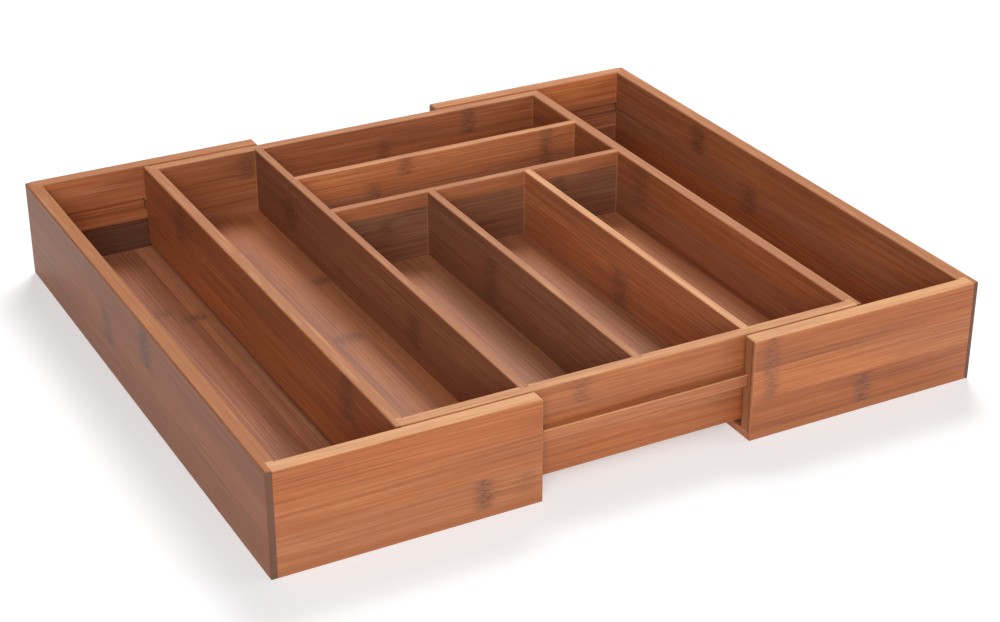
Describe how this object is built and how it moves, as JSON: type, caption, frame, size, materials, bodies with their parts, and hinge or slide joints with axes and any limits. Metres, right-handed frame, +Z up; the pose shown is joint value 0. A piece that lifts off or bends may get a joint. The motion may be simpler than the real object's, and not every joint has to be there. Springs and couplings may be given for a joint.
{
  "type": "expandable cutlery tray",
  "caption": "Bamboo drawer tray for cutlery: a divided centre tray on side rails, with an outer tray that slides out at each side.",
  "frame": {"origin": "middle of the footprint on the drawer floor, with both outer trays half pulled out", "axes": "+X to the right along the sliding direction, +Y to the back, +Z up"},
  "size_m": [0.478, 0.43, 0.068],
  "materials": {
    "bamboo_outer": "satin lacquered carbonised bamboo, warm orange brown",
    "bamboo_inner": "satin lacquered carbonised bamboo, red brown",
    "bamboo_floor": "satin lacquered carbonised bamboo board, brown"
  },
  "bodies": {
    "centre_tray": {"centre_left_wall": "bamboo_inner", "centre_right_wall": "bamboo_inner", "centre_front_wall": "bamboo_outer", "centre_back_wall": "bamboo_inner", "centre_front_rail": "bamboo_outer", "centre_back_rail": "bamboo_outer", "centre_bottom_panel": "bamboo_floor", "long_divider": "bamboo_inner", "rear_cross_divider": "bamboo_inner", "front_cross_divider": "bamboo_inner", "left_short_divider": "bamboo_inner", "right_short_divider": "bamboo_inner"},
    "left_tray": {"left_tray_side_wall": "bamboo_outer", "left_tray_front_wall": "bamboo_outer", "left_tray_back_wall": "bamboo_outer", "left_tray_bottom_panel": "bamboo_floor"},
    "right_tray": {"right_tray_side_wall": "bamboo_outer", "right_tray_front_wall": "bamboo_outer", "right_tray_back_wall": "bamboo_outer", "right_tray_bottom_panel": "bamboo_floor"}
  },
  "joints": [
    {"name": "left_slide", "type": "slide", "parent": "centre_tray", "child": "left_tray", "axis": [-1, 0, 0], "range_m": [-0.0705, 0.04]},
    {"name": "right_slide", "type": "slide", "parent": "centre_tray", "child": "right_tray", "axis": [1, 0, 0], "range_m": [-0.0705, 0.04]}
  ]
}
